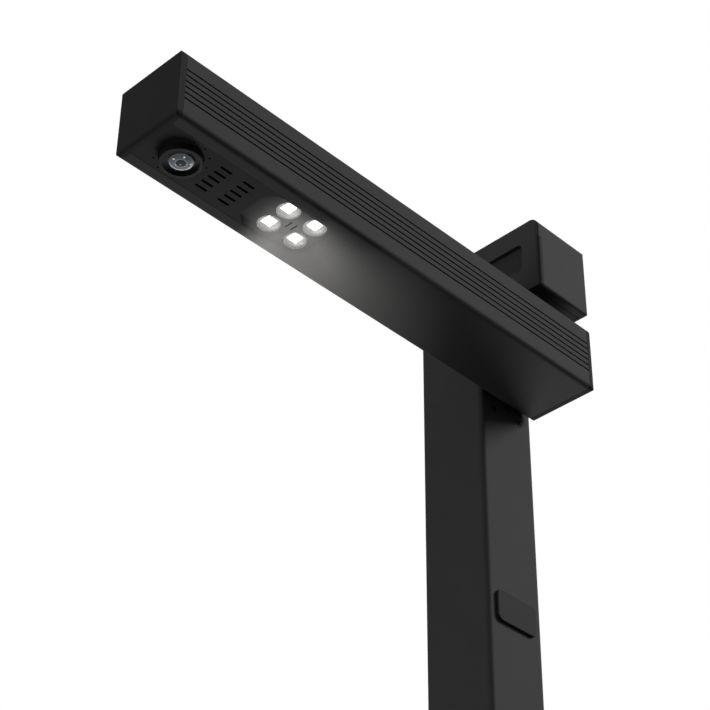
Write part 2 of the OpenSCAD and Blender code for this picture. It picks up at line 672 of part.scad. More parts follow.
module led_board() color("#d9dadb") in_arm() difference() {
  translate([cx - lamp_bw / 2, lamp_y - lamp_board / 2, tray_z]) cube([lamp_bw, lamp_board, 1.6]);
  for (p = lamp_pts) translate([p[0], p[1], tray_z - 1]) cylinder(r = 1.15, h = 4);
}

module heat_sink() color("#9fa2a6") in_arm() difference() {
  union() {
    translate([cx - lamp_bw / 2, lamp_y - lamp_board / 2, tray_z + 1.6])
      cube([lamp_bw, lamp_board, 2]);
    for (i = [0 : 7])
      translate([cx - lamp_bw / 2 + i * (lamp_bw - 1.2) / 7, lamp_y - lamp_post + 4, tray_z + 3.5])
      cube([1.2, 2 * lamp_post - 8, 7]);
  }
  for (p = lamp_pts) translate([p[0], p[1], tray_z]) cylinder(r = 1.15, h = 5);
}

module lamp_screws() color("#5c5f63") in_arm()
  for (p = lamp_pts) translate([p[0], p[1], tray_z + 3.6]) screw_down(1.9, 1.2, 0.95, 6, 0.8);

module arm_board() color("#1f5a3a") in_arm() {
  translate([arm_wall + 0.3, main_y0, 9.1])
    cube([arm_w - 2 * arm_wall - 0.6, main_y1 - main_y0, 1.6]);
  translate([cx - 6, main_y0 + 1.6, 10.69]) cube([12, 4, 3.31]);
  translate([cx - 7, main_y0 + 25, 10.69]) cube([14, 14, 1.5]);
  translate([cx - 12, main_y1 - 36, 10.69]) cube([8, 10, 1.2]);
  for (y = [34, 24]) translate([cx + 8, main_y1 - y, 10.69]) cylinder(r = 3, h = 6);
  translate([cx - 8, main_y1 - 9, 10.69]) cube([8, 6, 3.51]);
}

module ribbon_cable() color("#c9c4b4") in_arm() {
  translate([cx - 5, lens_y + 9.1, cam_z + 3.6]) cube([10, main_y0 + 4.5 - lens_y - 9.1, 0.3]);
  translate([cx - 5, main_y0 + 4.2, 14]) cube([10, 0.3, cam_z - 10.1]);
}

module arm_cable() color("#151515") in_arm() {
  translate([0, arm_len - arm_back, arm_h / 2]) { rod_x(2, 7.6, cx - 4); translate([cx - 4, 0, 0]) sphere(2); }
  translate([cx - 4, 0, arm_h / 2]) rod_y(2, main_y1 - 6, arm_len - arm_back);
  translate([cx - 4, main_y1 - 6, 0]) {
    translate([0, 0, arm_h / 2]) sphere(2);
    translate([0, 0, 14.2]) cylinder(r = 2, h = arm_h / 2 - 14.2);
  }
}

// Pieces, drawn one by one or all together
base_sheet();
ballast_plate();
base_shell();
base_screws();
base_board();
usb_socket();
power_button();
light_button();
board_screws();
column_foot();
foot_screws();
column_tube();
column_screws();
bumper_pad();
hinge_block();
hinge_screws();
hinge_bush();
stop_pin();
head_floor();
floor_screws();
head_shell();
shell_screws();
column_cable();
hinge_shaft();
face_washer();
friction_washer();
stop_disc();
disc_springs();
lock_nut();
flange_screws();
arm_tube();
front_cap();
back_cap();
camera_panel();
lens_hood();
lens_barrel();
lens_glass();
lens_rear();
lens_holder();
camera_board();
image_sensor();
camera_screws();
speaker();
led_tray();
led_lenses();
led_chips();
led_board();
heat_sink();
lamp_screws();
arm_board();
ribbon_cable();
arm_cable();
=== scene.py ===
# %% [markdown]
# # Overhead document scanner
# A long arm carries a camera and four lamps over the table. It stands to the right of a
# square column and folds down beside it. The measured solids are loaded as they are, and
# this script gives each one its edges, its finish and its fine parts.

# %% Load the solids
import json
import math

import bmesh
import bpy
from mathutils import Matrix, Vector


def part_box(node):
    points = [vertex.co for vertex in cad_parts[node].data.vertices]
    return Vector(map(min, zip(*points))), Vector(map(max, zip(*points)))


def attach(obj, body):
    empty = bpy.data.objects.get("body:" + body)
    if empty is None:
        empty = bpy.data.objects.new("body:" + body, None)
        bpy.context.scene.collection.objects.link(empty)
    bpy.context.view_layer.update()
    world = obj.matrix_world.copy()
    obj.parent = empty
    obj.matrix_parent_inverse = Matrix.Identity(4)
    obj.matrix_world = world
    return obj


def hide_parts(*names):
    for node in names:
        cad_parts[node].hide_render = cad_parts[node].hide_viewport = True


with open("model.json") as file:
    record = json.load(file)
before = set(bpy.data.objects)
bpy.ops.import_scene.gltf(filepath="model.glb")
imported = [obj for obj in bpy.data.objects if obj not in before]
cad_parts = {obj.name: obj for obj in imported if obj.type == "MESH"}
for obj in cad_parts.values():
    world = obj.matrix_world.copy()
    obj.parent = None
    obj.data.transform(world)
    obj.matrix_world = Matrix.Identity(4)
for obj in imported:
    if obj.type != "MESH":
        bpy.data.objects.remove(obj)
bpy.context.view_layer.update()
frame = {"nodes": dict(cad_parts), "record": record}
MM = 0.001
RECORD = frame["record"]
BODY_OF = {node: body for body, nodes in RECORD["behaviour"]["bodies"].items() for node in nodes}
SLOT_OF = {part["node"]: part["material_slot"] for part in RECORD["subparts"]}
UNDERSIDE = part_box("arm_tube")[0].z


def middle_of(node):
    return sum(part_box(node), Vector()) / 2


print("the underside of the arm is", round(UNDERSIDE / MM, 1), "mm above the table")

# %% [markdown]
# The photograph looks up at the arm from the front right, from below the level of the
# table. The lens length and the place come from the straight edges in the photograph.
# The camera's axes are built from its yaw, pitch and roll, because that is how the fit
# gave them, and a matrix takes the three axes as its columns.

# %% Camera
FRAME_PX = 710
LENS_PX = 1983.36
FILM_MM = 36
CAMERA_AT = (0.55714, -0.65580, -0.25810)
YAW, PITCH, ROLL = (math.radians(angle) for angle in (44.623, 36.427, 0.607))
ahead = Vector((-math.sin(YAW) * math.cos(PITCH), math.cos(YAW) * math.cos(PITCH), math.sin(PITCH)))
level = Vector((math.cos(YAW), math.sin(YAW), 0))
rise = level.cross(ahead)
right = level * math.cos(ROLL) + rise * math.sin(ROLL)
upward = rise * math.cos(ROLL) - level * math.sin(ROLL)
photo_lens = bpy.data.cameras.new("photo_camera")
photo_lens.sensor_width = FILM_MM
photo_lens.lens = FILM_MM * LENS_PX / FRAME_PX
photo_lens.clip_start = 0.01
photo_lens.clip_end = 50
camera = bpy.data.objects.new("photo_camera", photo_lens)
bpy.context.collection.objects.link(camera)
aim = Matrix((right, upward, -ahead)).transposed().to_4x4()
camera.matrix_world = Matrix.Translation(CAMERA_AT) @ aim
bpy.context.scene.camera = camera
print("lens length:", round(photo_lens.lens, 2), "mm")

# %% [markdown]
# Every finish is a small network of shader nodes. A Signal is one output in it, and
# adding or multiplying signals adds the Math nodes, so that a pattern reads as a formula.
# Each sign is one line, because they all make the same node with another operation.

# %% Signals
def sign(operation, reflected=False):
    """A method that adds a Math node. The reflected form is for a number before the signal."""
    def method(self, other=0.0):
        pair = (other, self) if reflected else (self, other)
        return self.net.node("ShaderNodeMath", {"operation": operation}, dict(enumerate(pair)))
    return method


class Signal:
    def __init__(self, net, socket):
        self.net = net
        self.socket = socket

    __add__ = sign("ADD")
    __radd__ = sign("ADD", reflected=True)
    __sub__ = sign("SUBTRACT")
    __rsub__ = sign("SUBTRACT", reflected=True)
    __mul__ = sign("MULTIPLY")
    __rmul__ = sign("MULTIPLY", reflected=True)
    __truediv__ = sign("DIVIDE")
    __rtruediv__ = sign("DIVIDE", reflected=True)
    __pow__ = sign("POWER")
    __abs__ = sign("ABSOLUTE")
    at_least = sign("MAXIMUM")
    at_most = sign("MINIMUM")

    def ramp(self, low, high):
        """0 below low, 1 above high, smooth between."""
        return self.net.node("ShaderNodeMapRange", {"interpolation_type": "SMOOTHSTEP"},
                             {"Value": self, "From Min": low, "From Max": high})

    def peak(self, middle, width):
        """1 at the middle, falling in a straight line to 0 at width from it."""
        return (1.0 - abs(self - middle) / width).at_least(0.0)


class Network:
    """A node tree, with one method that adds a node to it and gives back its signal."""
    def __init__(self, tree):
        self.tree = tree

    def node(self, kind, settings=None, inputs=None, out=0):
        made = self.tree.nodes.new(kind)
        for key, value in (settings or {}).items():
            setattr(made, key, value)
        for key, value in (inputs or {}).items():
            for one in value if isinstance(value, list) else [value]:
                if isinstance(one, Signal):
                    self.tree.links.new(one.socket, made.inputs[key])
                else:
                    made.inputs[key].default_value = one
        return Signal(self, made.outputs[out])

    def parts(self, vector):
        """The X, Y and Z of a vector signal."""
        split = self.node("ShaderNodeSeparateXYZ", {}, {0: vector})
        return [Signal(self, split.socket.node.outputs[i]) for i in range(3)]

    def end(self, kind, result):
        """Close the tree with its output node."""
        self.tree.links.new(result.socket, self.tree.nodes.new(kind).inputs[0])


print("reflected signs:", [name for name in vars(Signal) if name.startswith("__r")])

# %% [markdown]
# A Finish is the network of one material. Its patterns are placed by Object coordinates.
# No piece is ever turned or moved away from the origin, so these are metres in the
# scanner's own frame, and one pattern runs on over all the pieces of a finish.

# %% Finishes by name
FINISH = {}


class Finish(Network):
    def __init__(self, name):
        self.name = name
        self.material = bpy.data.materials.new(name)
        self.material.use_nodes = True
        super().__init__(self.material.node_tree)
        self.tree.nodes.clear()
        self.where = None

    def place(self):
        """Where the shaded point is."""
        if self.where is None:
            self.where = self.node("ShaderNodeTexCoord", out="Object")
        return self.where

    def axes(self):
        return self.parts(self.place())

    def mottle(self, size, detail=2.0, stretch=None):
        """Noise from 0 to 1 whose spots are about size metres across."""
        where = self.place()
        if stretch:
            where = self.node("ShaderNodeMapping", {}, {"Vector": where, "Scale": stretch})
        return self.node("ShaderNodeTexNoise", {},
                         {"Vector": where, "Scale": 1 / size, "Detail": detail, "Roughness": 0.55})

    def blend(self, factor, first, second):
        return self.node("ShaderNodeMix", {"data_type": "RGBA"},
                         {0: factor, 6: first, 7: second}, out=2)

    def bump(self, height, depth, strength):
        return self.node("ShaderNodeBump", {},
                         {"Height": height, "Distance": depth, "Strength": strength})

    def done(self, **values):
        """Feed the values to the shader, and keep the material under the finish's name."""
        inputs = {key.replace("_", " "): value for key, value in values.items()}
        self.end("ShaderNodeOutputMaterial", self.node("ShaderNodeBsdfPrincipled", {}, inputs))
        FINISH[self.name] = self.material


def grey(value, warm=0.0):
    """A grey that leans to red where warm is above 0 and to blue where it is below."""
    return (value * (1 + warm), value, value * (1 - warm), 1)


def opaque(colour, share=1.0):
    """The colour, or a share of it, with the fourth number that a socket wants."""
    return tuple(part * share for part in colour) + (1,)


BLACK = grey(0)
print("slots that need a finish:", len(set(SLOT_OF.values())))

# %% [markdown]
# The stage is a pale floor in the plane of the table. The camera is below that plane, so
# the floor's underside lets it through. What the floor throws back on the object is kept
# lower than what the camera sees, because the photograph's undersides are dark.

# %% Floor
FLOOR_HALF = 3
FLOOR_Z = -0.3 * MM
corners = [(x * FLOOR_HALF, y * FLOOR_HALF, FLOOR_Z) for x, y in ((-1, -1), (1, -1), (1, 1), (-1, 1))]
floor_mesh = bpy.data.meshes.new("floor")
floor_mesh.from_pydata(corners, [], [(0, 1, 2, 3)])
floor = bpy.data.objects.new("floor", floor_mesh)
bpy.context.collection.objects.link(floor)
paper = Finish("pale_floor")
thrown_back = paper.node("ShaderNodeLightPath", out="Is Diffuse Ray")
matte = paper.node("ShaderNodeBsdfDiffuse", {}, {"Color": paper.blend(thrown_back, grey(0.78), grey(0.03))})
clear = paper.node("ShaderNodeBsdfTransparent")
behind = paper.node("ShaderNodeNewGeometry", out="Backfacing")
lets_through = behind + paper.node("ShaderNodeLightPath", out="Is Shadow Ray")
either = paper.node("ShaderNodeMixShader", {}, {0: lets_through, 1: matte, 2: clear})
paper.end("ShaderNodeOutputMaterial", either)
floor_mesh.materials.append(paper.material)
print("the floor is", 2 * FLOOR_HALF, "m square")

# %% [markdown]
# The world is white where the camera, a mirror or glass sees it and a weak grey where it
# lights the object. It is a network too, so the same arithmetic chooses between the two.

# %% World
world = bpy.data.worlds.new("studio")
bpy.context.scene.world = world
world.use_nodes = True
world.node_tree.nodes.clear()
sky = Network(world.node_tree)
shown = sky.node("ShaderNodeLightPath", out="Is Camera Ray")
for ray in ("Is Transmission Ray", "Is Glossy Ray"):
    shown = shown.at_least(sky.node("ShaderNodeLightPath", out=ray))
dim = sky.node("ShaderNodeBackground", {}, {"Color": grey(1), "Strength": 0.3})
white = sky.node("ShaderNodeBackground", {}, {"Color": grey(1), "Strength": 1.0})
sky.end("ShaderNodeOutputWorld", sky.node("ShaderNodeMixShader", {}, {0: shown, 1: dim, 2: white}))
bpy.context.scene.view_settings.view_transform = "Standard"
print("the world has", len(sky.tree.nodes), "nodes")

# %% [markdown]
# Three soft lamps do the rest. The key stands high, behind and to the right. A level fill
# stands in front. A low lamp stands behind and to the left, below the floor, which lets
# shadow rays through: it lights the underside of the arm from the side, so that the lens
# hood and the column throw the shadows that the photograph shows. The rounded upright
# edges face none of them and get their dark line.

# %% Lamps of the studio
LIT_POINT = Vector((0.03, -0.10, 0.28))


def soft_lamp(name, towards, distance, size, watts):
    """A round lamp, size metres across, that looks at the lit point from distance metres."""
    light = bpy.data.lights.new(name, "AREA")
    light.shape = "DISK"
    light.size = size
    light.energy = watts
    lamp = bpy.data.objects.new(name, light)
    bpy.context.collection.objects.link(lamp)
    way = Vector(towards).normalized()
    lamp.location = LIT_POINT + way * distance
    lamp.rotation_euler = way.to_track_quat("Z", "Y").to_euler()
    print(name, "stands at", [round(c, 2) for c in lamp.location])
    return lamp


soft_lamp("key_lamp", towards=(0.5, 0.74, 0.5), distance=3.4, size=1.3, watts=198)
fill = soft_lamp("fill_lamp", towards=(-0.3, -0.93, -0.15), distance=2.6, size=0.9, watts=26)
soft_lamp("low_lamp", towards=(-0.45, 0.66, -0.42), distance=1.5, size=0.85, watts=27.5)
# The fill stands so low that it would burn a bright patch into the floor beside it.
unlit = bpy.data.collections.new("not_lit_by_fill")
unlit.objects.link(floor)
fill.light_linking.receiver_collection = unlit
unlit.collection_objects[0].light_linking.link_state = "EXCLUDE"

# %% [markdown]
# The scanner's own lamps light the underside of the arm behind them and the recess that
# they sit in. Their chips could do that alone, but such small bright squares behind lenses
# leave noise in a render. So the arm and the panel glow there by a formula. The light is
# strongest a little behind the middle of the lamps and falls off further back. On the side
# of the camera lens a weak bowl of light fills the recess.

# %% Light of the four lamps
LAMPS = middle_of("led_lenses")
SPILL = 0.18
SPILL_PEAK = 6.7 * MM
SPILL_REACH = 55 * MM
BESIDE = 0.05
BOWL = 0.055


def lamp_spill(coat, gone):
    """The colour of that light, which fades out between two heights above the underside, in mm."""
    x, y, z = coat.axes()
    across, along = x - LAMPS.x, y - LAMPS.y
    back = (along - SPILL_PEAK) / SPILL_REACH
    beside = (1.0 - abs(along) / (10 * MM)).at_least(0.0) * (1.0 - across.ramp(-12 * MM, -5 * MM))
    strength = SPILL / (1.0 + back * back) ** 2.0 + beside * BESIDE
    # From the left edge to the right one the light fades to nothing. Both move out on the way.
    wide = ((along - 10.7 * MM) / (36 * MM)).at_least(0.0).at_most(1.0)
    past = (along - 30 * MM).at_least(0.0)
    left_edge = wide * (-13 * MM) - 1 * MM - past * 0.22
    right_edge = 17.3 * MM + along.ramp(2 * MM, 10 * MM) * (2.7 * MM) + past * 0.38
    started = along.ramp(-20 * MM, -3 * MM)
    cone = strength * started * (1.0 - across.ramp(left_edge, right_edge))
    from_middle = (across * across + along * along) ** 0.5
    bowl = (1.0 - from_middle.ramp(7 * MM, 29 * MM)) * (1.0 - started) * BOWL
    bowl = bowl * z.ramp(UNDERSIDE + 0.2 * MM, UNDERSIDE + 0.8 * MM)
    amount = (cone + bowl) * (1.0 - z.ramp(UNDERSIDE + gone[0] * MM, UNDERSIDE + gone[1] * MM))
    return coat.blend(amount, BLACK, (1, 0.985, 0.96, 1))


print("middle of the lamps:", [round(c / MM, 1) for c in LAMPS], "mm")

# %% [markdown]
# The arm and the column are aluminium with a fine powder coat: nearly flat to the eye,
# with a grain of a third of a millimetre, a slow change of sheen, and edges that are
# rubbed a shade lighter. The moulded parts, the rubber and the black screws differ from
# it in tone, roughness and grain, so one function makes them all.

# %% Dark finishes
RUBBED = 1.5
SHADED = 0.62


def dark_coat(name, tone, rough, grain=0.35, depth=0.012, sheen=0.004, spill=None, shade=None):
    """Grain and depth are the size and the height of the grain, in mm."""
    coat = Finish(name)
    grains = coat.mottle(grain * MM, 3.0)
    clouds = coat.mottle(18 * MM)
    scuffs = coat.mottle(2.2 * MM, 3.0, stretch=(1, 0.25, 1)).ramp(0.5, 0.72)
    edge = coat.node("ShaderNodeAttribute", {"attribute_name": "edge"}, out="Fac")
    rubbed = edge * (0.35 + scuffs * 0.5)
    colour = coat.blend(clouds, grey(tone * 0.93), grey(tone * 1.07))
    colour = coat.blend(rubbed, colour, grey(tone * RUBBED))
    # Painted shade: the colour is darker where the shade mask says that shade falls.
    if shade:
        colour = coat.blend(shade(coat), colour, grey(tone * SHADED))
    lit = {"Emission_Color": lamp_spill(coat, spill), "Emission_Strength": 1.0} if spill else {}
    rough = rough + (clouds - 0.5) * 0.08 + (grains - 0.5) * 0.1 - rubbed * 0.08
    coat.done(Base_Color=colour, Roughness=rough, Specular_IOR_Level=sheen,
              Normal=coat.bump(grains, depth * MM, 0.6), **lit)


SCOOP_SIDE = 11.1 * MM
SCOOP_TOP = 12.3 * MM


def scoop_and_rim_painted_shade(coat):
    """Painted shade: 1 on the floor of the finger recess and on the head's lower rim, 0 on its other faces.
    """
    low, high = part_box("head_shell")
    x, y, z = coat.axes()
    rim = 1.0 - z.ramp(low.z + 0.02 * MM, low.z + 0.2 * MM)
    beside = x.ramp(low.x + SCOOP_SIDE - 0.5 * MM, low.x + SCOOP_SIDE)
    below = 1.0 - z.ramp(high.z - SCOOP_TOP, high.z - SCOOP_TOP + 0.4 * MM)
    deep = y.ramp(low.y + 0.05 * MM, low.y + 0.9 * MM) * (1.0 - y.ramp(low.y + 3 * MM, low.y + 4 * MM))
    return rim.at_least(beside * below * deep)


dark_coat("arm_paint", 0.044, 0.72, spill=(0.8, 1.6))
dark_coat("column_paint", 0.045, 0.72)
dark_coat("cap_plastic", 0.0265, 0.75, grain=0.5)
# The head gets painted shade in its finger recess and on its lower rim.
dark_coat("head_plastic", 0.049, 0.72, grain=0.5, shade=scoop_and_rim_painted_shade)
dark_coat("base_plastic", 0.042, 0.6, grain=0.6)
dark_coat("panel_plastic", 0.030, 0.5, grain=0.4, spill=(2.4, 3.4))
dark_coat("hood_plastic", 0.006, 0.5, grain=0.3, sheen=0.045)
dark_coat("key_plastic", 0.05, 0.45, grain=0.5)
dark_coat("sheet_rubber", 0.03, 0.8, grain=0.8, depth=0.05)
dark_coat("pad_rubber", 0.036, 0.75, grain=0.6, depth=0.02)
dark_coat("screw_black", 0.02, 0.4, grain=0.2)
dark_coat("wire_black", 0.02, 0.55, grain=0.4)
dark_coat("sensor_silicon", 0.06, 0.2, grain=0.1)
print("dark finishes:", len(FINISH))

# %% [markdown]
# The metal parts are mostly out of sight inside, but they are finished too: steel with
# fine marks from the tool, cast alloy with a coarse skin, and porous bronze. A picture of
# marks would have to be fitted to every part, so they are noise: squeezed along Z on the
# steel, and drawn out along Y on the heat sink, which is pressed through a die.

# %% Metals
def bare_metal(name, colour, rough, grain, depth, stretch=None):
    metal = Finish(name)
    marks = metal.mottle(grain * MM, 4.0, stretch)
    clouds = metal.mottle(6 * MM)
    metal.done(Base_Color=metal.blend(clouds, opaque(colour, 0.86), opaque(colour)), Metallic=1.0,
               Roughness=rough + (marks - 0.5) * 0.2, Normal=metal.bump(marks, depth * MM, 0.5))


bare_metal("steel", (0.55, 0.56, 0.58), 0.3, 0.25, 0.01, (1, 1, 6))
bare_metal("ballast_steel", (0.42, 0.43, 0.45), 0.5, 0.8, 0.03)
bare_metal("cast_alloy", (0.5, 0.51, 0.53), 0.55, 0.5, 0.05)
bare_metal("sink_alloy", (0.62, 0.63, 0.65), 0.4, 0.4, 0.01, (1, 0.05, 1))
bare_metal("bronze", (0.62, 0.45, 0.2), 0.45, 0.2, 0.02)
print("finishes so far:", len(FINISH))

# %% [markdown]
# A circuit board is covered with copper between thin gaps, all under a coloured mask. The
# gaps show as darker, slightly lower lines. Real ones follow the circuit, which nobody
# sees in here, so the borders of Voronoi cells stand for them. The ribbon cable is amber
# film with lanes of copper, which a wave texture gives in one node.

# %% Boards and ribbon
def board_mask(name, colour, dark):
    mask = Finish(name)
    cells = mask.node("ShaderNodeTexVoronoi", {"feature": "DISTANCE_TO_EDGE"},
                      {"Vector": mask.place(), "Scale": 1 / (2.4 * MM)}, out="Distance")
    copper = cells.ramp(0.02, 0.09)
    weave = mask.mottle(0.4 * MM)
    mask.done(Base_Color=mask.blend(copper, opaque(dark), opaque(colour)),
              Roughness=0.35 + weave * 0.15, Normal=mask.bump(copper, 0.03 * MM, 0.5))


board_mask("board_green", (0.03, 0.16, 0.08), (0.012, 0.07, 0.035))
board_mask("board_white", (0.72, 0.72, 0.71), (0.62, 0.62, 0.6))
film = Finish("ribbon_film")
stripes = film.node("ShaderNodeTexWave", {"bands_direction": "X"},
                    {"Vector": film.place(), "Scale": 300.0, "Distortion": 0.0})
lanes = stripes.ramp(0.4, 0.6)
film.done(Base_Color=film.blend(lanes, (0.35, 0.22, 0.06, 1), (0.6, 0.45, 0.18, 1)),
          Roughness=0.35 + lanes * 0.1)
print("finishes so far:", len(FINISH))

# %% [markdown]
# The front element of the camera is coated glass. What one sees in it are reflections
# between the elements behind it: rings round the axis, a crescent at the far rim and a few
# sharp glints. Only one element stands behind it here, so these reflections are painted into
# the colour of the glass by their distance from the axis, and the painted glints glow. The
# coating takes most of the mirror image of the room away, so the refractive index is set
# lower than that of bare glass.

# %% Lens glass
LENS = middle_of("lens_glass")
# Each painted reflected ring is its radius and half width in mm, and its tone.
REFLECTION_RINGS = ((0.9, 0.35, 0.07), (2.6, 0.45, 0.29), (5.2, 0.35, 0.22))
# Each painted glint, which glows, is its place right of and behind the axis, and its size, all in mm.
PAINTED_GLINTS = ((-0.5, -3.9, 0.68), (3.7, -1.35, 0.66), (2.2, 3.7, 0.6), (-2.6, -0.8, 0.35), (-0.9, 0.4, 0.4))

coated = Finish("lens_glass")
x, y, z = coated.axes()
across, along = x - LENS.x, y - LENS.y
from_axis = (across ** 2.0 + along ** 2.0) ** 0.5
# Painted reflections: a dark middle, brighter glass round it, the rings and a bright crescent. The black edge
# is the glass's own.
glass = coated.blend(from_axis.ramp(2.1 * MM, 2.4 * MM), grey(0.014, -0.2), grey(0.15, -0.12))
for radius, width, tone in REFLECTION_RINGS:
    glass = coated.blend(from_axis.peak(radius * MM, width * MM), glass, grey(tone, -0.08))
painted_crescent = from_axis.peak(5.0 * MM, 0.6 * MM) * (along - across).ramp(-2 * MM, 6.5 * MM)
glass = coated.blend(painted_crescent, glass, grey(0.72, -0.02))
glass = coated.blend(from_axis.ramp(5.5 * MM, 5.75 * MM), glass, grey(0.012))
# Painted glints, which glow through the emission.
painted_glint = 0.0
for right_by, back_by, size in PAINTED_GLINTS:
    off = ((across - right_by * MM) ** 2.0 + (along - back_by * MM) ** 2.0) ** 0.5
    painted_glint = (1.0 - off / (size * MM)).at_least(painted_glint)
painted_glints = coated.blend(painted_glint.ramp(0.0, 0.8), BLACK, grey(0.55, -0.03))
coated.done(Base_Color=glass, Roughness=0.03 + coated.mottle(3 * MM) * 0.02, IOR=1.3,
            Emission_Color=painted_glints, Emission_Strength=1.0)
print("rings on the glass:", len(REFLECTION_RINGS), "glints:", len(PAINTED_GLINTS))

# %% [markdown]
# The four lamps are lit. Behind each lens is a white chip with a square of phosphor, the
# only strong light on the object. The lens is milky: it lets part of the square through
# and glows itself, most in its middle. Both patterns are the same for all four lamps,
# because the distances to the middle of the nearest lamp follow from two absolute values.

# %% Lit lamps
LED_X = 6.5 * MM
LED_Y = 8.4 * MM
LED_RADIUS = 5.75 * MM
PHOSPHOR = 5.5 * MM


def from_lamp(net):
    """How far across and along the shaded point is from the middle of the nearest lamp."""
    x, y, z = net.axes()
    return abs(abs(x - LAMPS.x) - LED_X), abs(abs(y - LAMPS.y) - LED_Y)


dome = Finish("lamp_lens")
milk = dome.mottle(1.5 * MM)
across, along = from_lamp(dome)
inner = (1.0 - (across * across + along * along) ** 0.5 / LED_RADIUS).at_least(0.0)
shine = inner ** 0.5 * 0.2 + 0.13 + milk * 0.04
dome.done(Base_Color=dome.blend(milk, grey(0.22), grey(0.3)), Alpha=0.62 + milk * 0.04,
          Roughness=0.12 + milk * 0.05, Emission_Strength=1.0,
          Emission_Color=dome.blend(shine, BLACK, (1, 0.99, 0.97, 1)))
glow = Finish("lamp_light")
across, along = from_lamp(glow)
lit = 1.0 - across.at_least(along).ramp(PHOSPHOR / 2 - 0.03 * MM, PHOSPHOR / 2 + 0.01 * MM)
glow.done(Base_Color=grey(0.9, 0.02), Roughness=0.4 + glow.mottle(0.4 * MM) * 0.1,
          Emission_Color=glow.blend(lit, grey(0.03), grey(1.0, 0.02)), Emission_Strength=14.0)
print("finishes:", len(FINISH))

# %% [markdown]
# Every solid takes the finish of its slot, also those that are replaced further down.

# %% Finishes on the solids
for node, solid in frame["nodes"].items():
    solid.data.materials.clear()
    solid.data.materials.append(FINISH[SLOT_OF[node]])
print("solids with a finish:", len(frame["nodes"]))

# %% [markdown]
# A piece that this script makes stands for a solid: it rides on that solid's body, hides
# it and has its slot. It is a plain mesh by then, with its modifiers worked in.

# %% Pieces that stand for solids
def made_plain(piece):
    """Work the modifiers into the piece's mesh."""
    depsgraph = bpy.context.evaluated_depsgraph_get()
    plain = bpy.data.meshes.new_from_object(piece.evaluated_get(depsgraph))
    piece.modifiers.clear()
    piece.data = plain
    return plain


def stand_for(piece, node):
    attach(piece, BODY_OF[node])
    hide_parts(node)
    print(piece.name, "has", len(piece.data.polygons), "faces")


print("bodies to ride on:", sorted(set(BODY_OF.values())))

# %% [markdown]
# The solids have sharp edges, but moulded, cast and sawn edges are always broken a
# little, and that thin line of light is what makes an edge look real. Each solid listed
# below is copied, its flat triangles are joined again, and every sharp edge gets a narrow
# round. The faces of the round are marked, so that a finish can wear there. Where two
# rounds meet, a corner can stick out a hair, so all points are kept inside the solid's box.

# %% Broken edges
FLAT = math.radians(0.4)
SHARP = math.radians(28)
CREASE = math.radians(50)
WELD = 0.003 * MM
# How wide the round is on each piece, in mm.
BROKEN_BY = {
    "arm_tube": 0.1, "front_cap": 0.1, "back_cap": 0.3, "column_tube": 0.25, "head_shell": 0.2,
    "base_shell": 0.4, "led_tray": 0.15, "bumper_pad": 0.5, "power_button": 0.25,
    "light_button": 0.25, "base_sheet": 0.4, "head_floor": 0.2}


def soft_copy(node, width):
    shape = bmesh.new()
    shape.from_mesh(frame["nodes"][node].data)
    bmesh.ops.remove_doubles(shape, verts=shape.verts, dist=WELD)
    bmesh.ops.dissolve_limit(shape, angle_limit=FLAT, verts=shape.verts, edges=shape.edges)
    mark = shape.faces.layers.float.new("edge")
    sharp = [e for e in shape.edges if len(e.link_faces) == 2 and e.calc_face_angle(0) > SHARP]
    rounds = bmesh.ops.bevel(shape, geom=sharp, offset=width * MM, segments=2, profile=0.5,
                             affect="EDGES", clamp_overlap=False)
    for face in rounds["faces"]:
        face[mark] = 1.0
    low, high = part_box(node)
    for vert in shape.verts:
        vert.co = [min(max(c, a), b) for c, a, b in zip(vert.co, low, high)]
    for face in shape.faces:
        face.smooth = True
    mesh = bpy.data.meshes.new(node + "_soft")
    shape.to_mesh(mesh)
    shape.free()
    mesh.set_sharp_from_angle(angle=CREASE)
    piece = bpy.data.objects.new(node + "_soft", mesh)
    bpy.context.collection.objects.link(piece)
    even = piece.modifiers.new("even", "WEIGHTED_NORMAL")
    even.keep_sharp = True
    even.weight = 80
    made_plain(piece).materials.append(FINISH[SLOT_OF[node]])
    stand_for(piece, node)


for node, width in BROKEN_BY.items():
    soft_copy(node, width)

# %% [markdown]
# Screws, lamp lenses and light chips repeat, so each is described once as a rule with
# named sizes, and a Geometry Nodes tree sets it on every point. A Rule is such a tree. The
# same Signal arithmetic works in it, because these trees know the Math node too.

